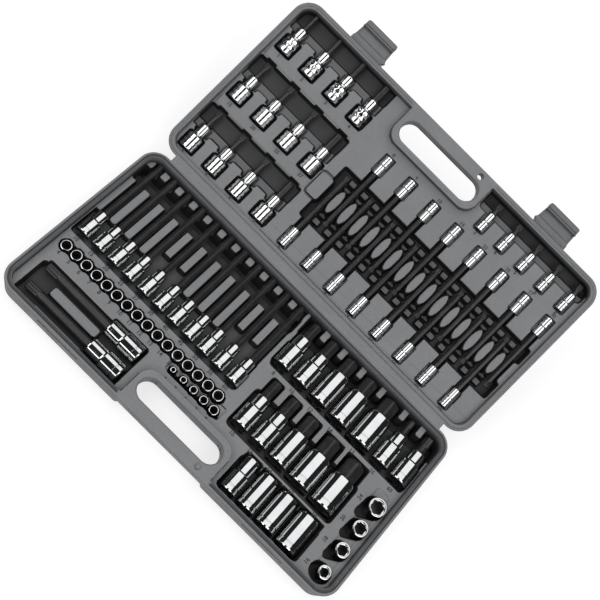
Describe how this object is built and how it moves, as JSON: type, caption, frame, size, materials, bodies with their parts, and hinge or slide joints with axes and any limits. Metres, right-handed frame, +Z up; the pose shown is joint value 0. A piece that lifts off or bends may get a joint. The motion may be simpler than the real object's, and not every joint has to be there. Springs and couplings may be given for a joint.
{
  "type": "socket wrench set in case",
  "caption": "Blow-moulded carry case, open on its back, with bit sockets, long bits and plain sockets seated in shaped trays in both halves.",
  "frame": {"origin": "centre of the flat underside of the base half", "axes": "+X along the hinge, +Z up, the carry handle towards -Y"},
  "size_m": [0.44, 0.4547, 0.1336],
  "materials": {
    "case_plastic": "fine matt moulded polyethylene",
    "latch_plastic": "satin moulded plastic",
    "chrome": "polished chrome plate",
    "black_oxide": "matt black phosphate on tool steel"
  },
  "bodies": {
    "base": {"base_half": "case_plastic", "living_hinge": "case_plastic"},
    "lid": {"lid_half": "case_plastic"},
    "left_latch": {"latch_left": "latch_plastic"},
    "right_latch": {"latch_right": "latch_plastic"},
    "long_bit_socket_01_body": {"long_bit_socket_01": "chrome"},
    "long_bit_socket_02_body": {"long_bit_socket_02": "chrome"},
    "long_bit_socket_03_body": {"long_bit_socket_03": "chrome"},
    "long_bit_socket_04_body": {"long_bit_socket_04": "chrome"},
    "long_bit_socket_05_body": {"long_bit_socket_05": "chrome"},
    "long_bit_socket_06_body": {"long_bit_socket_06": "chrome"},
    "long_bit_socket_07_body": {"long_bit_socket_07": "chrome"},
    "long_bit_socket_08_body": {"long_bit_socket_08": "chrome"},
    "long_bit_socket_09_body": {"long_bit_socket_09": "chrome"},
    "long_bit_socket_10_body": {"long_bit_socket_10": "chrome"},
    "long_bit_socket_11_body": {"long_bit_socket_11": "chrome"},
    "half_inch_bit_socket_1_body": {"half_inch_bit_socket_1": "chrome"},
    "half_inch_bit_socket_2_body": {"half_inch_bit_socket_2": "chrome"},
    "half_inch_bit_socket_3_body": {"half_inch_bit_socket_3": "chrome"},
    "half_inch_bit_socket_4_body": {"half_inch_bit_socket_4": "chrome"},
    "half_inch_bit_socket_5_body": {"half_inch_bit_socket_5": "chrome"},
    "half_inch_bit_socket_6_body": {"half_inch_bit_socket_6": "chrome"},
    "half_inch_bit_socket_7_body": {"half_inch_bit_socket_7": "chrome"},
    "hex_bit_socket_1_body": {"hex_bit_socket_1": "chrome"},
    "hex_bit_socket_2_body": {"hex_bit_socket_2": "chrome"},
    "hex_bit_socket_3_body": {"hex_bit_socket_3": "chrome"},
    "hex_bit_socket_4_body": {"hex_bit_socket_4": "chrome"},
    "hex_bit_socket_5_body": {"hex_bit_socket_5": "chrome"},
    "star_socket_1_body": {"star_socket_1": "chrome"},
    "star_socket_2_body": {"star_socket_2": "chrome"},
    "star_socket_3_body": {"star_socket_3": "chrome"},
    "star_socket_4_body": {"star_socket_4": "chrome"},
    "extra_long_bit_socket_1_body": {"extra_long_bit_socket_1": "chrome"},
    "extra_long_bit_socket_2_body": {"extra_long_bit_socket_2": "chrome"},
    "lid_bit_socket_01_body": {"lid_bit_socket_01": "chrome"},
    "lid_bit_socket_02_body": {"lid_bit_socket_02": "chrome"},
    "lid_bit_socket_03_body": {"lid_bit_socket_03": "chrome"},
    "lid_bit_socket_04_body": {"lid_bit_socket_04": "chrome"},
    "lid_bit_socket_05_body": {"lid_bit_socket_05": "chrome"},
    "lid_bit_socket_06_body": {"lid_bit_socket_06": "chrome"},
    "lid_bit_socket_07_body": {"lid_bit_socket_07": "chrome"},
    "lid_bit_socket_08_body": {"lid_bit_socket_08": "chrome"},
    "lid_bit_socket_09_body": {"lid_bit_socket_09": "chrome"},
    "lid_bit_socket_10_body": {"lid_bit_socket_10": "chrome"},
    "lid_bit_socket_11_body": {"lid_bit_socket_11": "chrome"},
    "lid_bit_socket_12_body": {"lid_bit_socket_12": "chrome"},
    "thin_bit_socket_1_body": {"thin_bit_socket_1": "chrome"},
    "thin_bit_socket_2_body": {"thin_bit_socket_2": "chrome"},
    "thin_bit_socket_3_body": {"thin_bit_socket_3": "chrome"},
    "thin_bit_socket_4_body": {"thin_bit_socket_4": "chrome"},
    "thin_bit_socket_5_body": {"thin_bit_socket_5": "chrome"},
    "thin_bit_socket_6_body": {"thin_bit_socket_6": "chrome"},
    "thin_bit_socket_7_body": {"thin_bit_socket_7": "chrome"},
    "thin_bit_socket_8_body": {"thin_bit_socket_8": "chrome"},
    "short_bit_socket_1_body": {"short_bit_socket_1": "chrome"},
    "short_bit_socket_2_body": {"short_bit_socket_2": "chrome"},
    "short_bit_socket_3_body": {"short_bit_socket_3": "chrome"},
    "short_bit_socket_4_body": {"short_bit_socket_4": "chrome"},
    "short_bit_socket_5_body": {"short_bit_socket_5": "chrome"}
  },
  "joints": [
    {"name": "lid_hinge", "type": "hinge", "parent": "base", "child": "lid", "pos_m": [0, 0.1125, 0.036], "axis": [-1, 0, 0], "range_deg": [-155, 25]},
    {"name": "left_latch_hinge", "type": "hinge", "parent": "lid", "child": "left_latch", "pos_m": [-0.1365, 0.3208, 0.12099], "axis": [-1, 0, 0], "range_deg": [-90, 30]},
    {"name": "right_latch_hinge", "type": "hinge", "parent": "lid", "child": "right_latch", "pos_m": [0.1365, 0.3208, 0.12099], "axis": [-1, 0, 0], "range_deg": [-90, 30]},
    {"name": "long_bit_socket_01_lift", "type": "slide", "parent": "base", "child": "long_bit_socket_01_body", "axis": [0, 0, 1], "range_m": [0, 0.04]},
    {"name": "long_bit_socket_02_lift", "type": "slide", "parent": "base", "child": "long_bit_socket_02_body", "axis": [0, 0, 1], "range_m": [0, 0.04]},
    {"name": "long_bit_socket_03_lift", "type": "slide", "parent": "base", "child": "long_bit_socket_03_body", "axis": [0, 0, 1], "range_m": [0, 0.04]},
    {"name": "long_bit_socket_04_lift", "type": "slide", "parent": "base", "child": "long_bit_socket_04_body", "axis": [0, 0, 1], "range_m": [0, 0.04]},
    {"name": "long_bit_socket_05_lift", "type": "slide", "parent": "base", "child": "long_bit_socket_05_body", "axis": [0, 0, 1], "range_m": [0, 0.04]},
    {"name": "long_bit_socket_06_lift", "type": "slide", "parent": "base", "child": "long_bit_socket_06_body", "axis": [0, 0, 1], "range_m": [0, 0.04]},
    {"name": "long_bit_socket_07_lift", "type": "slide", "parent": "base", "child": "long_bit_socket_07_body", "axis": [0, 0, 1], "range_m": [0, 0.04]},
    {"name": "long_bit_socket_08_lift", "type": "slide", "parent": "base", "child": "long_bit_socket_08_body", "axis": [0, 0, 1], "range_m": [0, 0.04]},
    {"name": "long_bit_socket_09_lift", "type": "slide", "parent": "base", "child": "long_bit_socket_09_body", "axis": [0, 0, 1], "range_m": [0, 0.04]},
    {"name": "long_bit_socket_10_lift", "type": "slide", "parent": "base", "child": "long_bit_socket_10_body", "axis": [0, 0, 1], "range_m": [0, 0.04]},
    {"name": "long_bit_socket_11_lift", "type": "slide", "parent": "base", "child": "long_bit_socket_11_body", "axis": [0, 0, 1], "range_m": [0, 0.04]},
    {"name": "half_inch_bit_socket_1_lift", "type": "slide", "parent": "base", "child": "half_inch_bit_socket_1_body", "axis": [0, 0, 1], "range_m": [0, 0.04]},
    {"name": "half_inch_bit_socket_2_lift", "type": "slide", "parent": "base", "child": "half_inch_bit_socket_2_body", "axis": [0, 0, 1], "range_m": [0, 0.04]},
    {"name": "half_inch_bit_socket_3_lift", "type": "slide", "parent": "base", "child": "half_inch_bit_socket_3_body", "axis": [0, 0, 1], "range_m": [0, 0.04]},
    {"name": "half_inch_bit_socket_4_lift", "type": "slide", "parent": "base", "child": "half_inch_bit_socket_4_body", "axis": [0, 0, 1], "range_m": [0, 0.04]},
    {"name": "half_inch_bit_socket_5_lift", "type": "slide", "parent": "base", "child": "half_inch_bit_socket_5_body", "axis": [0, 0, 1], "range_m": [0, 0.04]},
    {"name": "half_inch_bit_socket_6_lift", "type": "slide", "parent": "base", "child": "half_inch_bit_socket_6_body", "axis": [0, 0, 1], "range_m": [0, 0.04]},
    {"name": "half_inch_bit_socket_7_lift", "type": "slide", "parent": "base", "child": "half_inch_bit_socket_7_body", "axis": [0, 0, 1], "range_m": [0, 0.04]},
    {"name": "hex_bit_socket_1_lift", "type": "slide", "parent": "base", "child": "hex_bit_socket_1_body", "axis": [0, 0, 1], "range_m": [0, 0.04]},
    {"name": "hex_bit_socket_2_lift", "type": "slide", "parent": "base", "child": "hex_bit_socket_2_body", "axis": [0, 0, 1], "range_m": [0, 0.04]},
    {"name": "hex_bit_socket_3_lift", "type": "slide", "parent": "base", "child": "hex_bit_socket_3_body", "axis": [0, 0, 1], "range_m": [0, 0.04]},
    {"name": "hex_bit_socket_4_lift", "type": "slide", "parent": "base", "child": "hex_bit_socket_4_body", "axis": [0, 0, 1], "range_m": [0, 0.04]},
    {"name": "hex_bit_socket_5_lift", "type": "slide", "parent": "base", "child": "hex_bit_socket_5_body", "axis": [0, 0, 1], "range_m": [0, 0.04]},
    {"name": "star_socket_1_lift", "type": "slide", "parent": "base", "child": "star_socket_1_body", "axis": [0, 0, 1], "range_m": [0, 0.04]},
    {"name": "star_socket_2_lift", "type": "slide", "parent": "base", "child": "star_socket_2_body", "axis": [0, 0, 1], "range_m": [0, 0.04]},
    {"name": "star_socket_3_lift", "type": "slide", "parent": "base", "child": "star_socket_3_body", "axis": [0, 0, 1], "range_m": [0, 0.04]},
    {"name": "star_socket_4_lift", "type": "slide", "parent": "base", "child": "star_socket_4_body", "axis": [0, 0, 1], "range_m": [0, 0.04]},
    {"name": "extra_long_bit_socket_1_lift", "type": "slide", "parent": "base", "child": "extra_long_bit_socket_1_body", "axis": [0, 0, 1], "range_m": [0, 0.04]},
    {"name": "extra_long_bit_socket_2_lift", "type": "slide", "parent": "base", "child": "extra_long_bit_socket_2_body", "axis": [0, 0, 1], "range_m": [0, 0.04]},
    {"name": "lid_bit_socket_01_lift", "type": "slide", "parent": "lid", "child": "lid_bit_socket_01_body", "axis": [0, -0.4226, 0.9063], "range_m": [0, 0.04]},
    {"name": "lid_bit_socket_02_lift", "type": "slide", "parent": "lid", "child": "lid_bit_socket_02_body", "axis": [0, -0.4226, 0.9063], "range_m": [0, 0.04]},
    {"name": "lid_bit_socket_03_lift", "type": "slide", "parent": "lid", "child": "lid_bit_socket_03_body", "axis": [0, -0.4226, 0.9063], "range_m": [0, 0.04]},
    {"name": "lid_bit_socket_04_lift", "type": "slide", "parent": "lid", "child": "lid_bit_socket_04_body", "axis": [0, -0.4226, 0.9063], "range_m": [0, 0.04]},
    {"name": "lid_bit_socket_05_lift", "type": "slide", "parent": "lid", "child": "lid_bit_socket_05_body", "axis": [0, -0.4226, 0.9063], "range_m": [0, 0.04]},
    {"name": "lid_bit_socket_06_lift", "type": "slide", "parent": "lid", "child": "lid_bit_socket_06_body", "axis": [0, -0.4226, 0.9063], "range_m": [0, 0.04]},
    {"name": "lid_bit_socket_07_lift", "type": "slide", "parent": "lid", "child": "lid_bit_socket_07_body", "axis": [0, -0.4226, 0.9063], "range_m": [0, 0.04]},
    {"name": "lid_bit_socket_08_lift", "type": "slide", "parent": "lid", "child": "lid_bit_socket_08_body", "axis": [0, -0.4226, 0.9063], "range_m": [0, 0.04]},
    {"name": "lid_bit_socket_09_lift", "type": "slide", "parent": "lid", "child": "lid_bit_socket_09_body", "axis": [0, -0.4226, 0.9063], "range_m": [0, 0.04]},
    {"name": "lid_bit_socket_10_lift", "type": "slide", "parent": "lid", "child": "lid_bit_socket_10_body", "axis": [0, -0.4226, 0.9063], "range_m": [0, 0.04]},
    {"name": "lid_bit_socket_11_lift", "type": "slide", "parent": "lid", "child": "lid_bit_socket_11_body", "axis": [0, -0.4226, 0.9063], "range_m": [0, 0.04]},
    {"name": "lid_bit_socket_12_lift", "type": "slide", "parent": "lid", "child": "lid_bit_socket_12_body", "axis": [0, -0.4226, 0.9063], "range_m": [0, 0.04]},
    {"name": "thin_bit_socket_1_lift", "type": "slide", "parent": "lid", "child": "thin_bit_socket_1_body", "axis": [0, -0.4226, 0.9063], "range_m": [0, 0.04]},
    {"name": "thin_bit_socket_2_lift", "type": "slide", "parent": "lid", "child": "thin_bit_socket_2_body", "axis": [0, -0.4226, 0.9063], "range_m": [0, 0.04]},
    {"name": "thin_bit_socket_3_lift", "type": "slide", "parent": "lid", "child": "thin_bit_socket_3_body", "axis": [0, -0.4226, 0.9063], "range_m": [0, 0.04]},
    {"name": "thin_bit_socket_4_lift", "type": "slide", "parent": "lid", "child": "thin_bit_socket_4_body", "axis": [0, -0.4226, 0.9063], "range_m": [0, 0.04]},
    {"name": "thin_bit_socket_5_lift", "type": "slide", "parent": "lid", "child": "thin_bit_socket_5_body", "axis": [0, -0.4226, 0.9063], "range_m": [0, 0.04]},
    {"name": "thin_bit_socket_6_lift", "type": "slide", "parent": "lid", "child": "thin_bit_socket_6_body", "axis": [0, -0.4226, 0.9063], "range_m": [0, 0.04]},
    {"name": "thin_bit_socket_7_lift", "type": "slide", "parent": "lid", "child": "thin_bit_socket_7_body", "axis": [0, -0.4226, 0.9063], "range_m": [0, 0.04]},
    {"name": "thin_bit_socket_8_lift", "type": "slide", "parent": "lid", "child": "thin_bit_socket_8_body", "axis": [0, -0.4226, 0.9063], "range_m": [0, 0.04]},
    {"name": "short_bit_socket_1_lift", "type": "slide", "parent": "lid", "child": "short_bit_socket_1_body", "axis": [0, -0.4226, 0.9063], "range_m": [0, 0.04]},
    {"name": "short_bit_socket_2_lift", "type": "slide", "parent": "lid", "child": "short_bit_socket_2_body", "axis": [0, -0.4226, 0.9063], "range_m": [0, 0.04]},
    {"name": "short_bit_socket_3_lift", "type": "slide", "parent": "lid", "child": "short_bit_socket_3_body", "axis": [0, -0.4226, 0.9063], "range_m": [0, 0.04]},
    {"name": "short_bit_socket_4_lift", "type": "slide", "parent": "lid", "child": "short_bit_socket_4_body", "axis": [0, -0.4226, 0.9063], "range_m": [0, 0.04]},
    {"name": "short_bit_socket_5_lift", "type": "slide", "parent": "lid", "child": "short_bit_socket_5_body", "axis": [0, -0.4226, 0.9063], "range_m": [0, 0.04]}
  ]
}
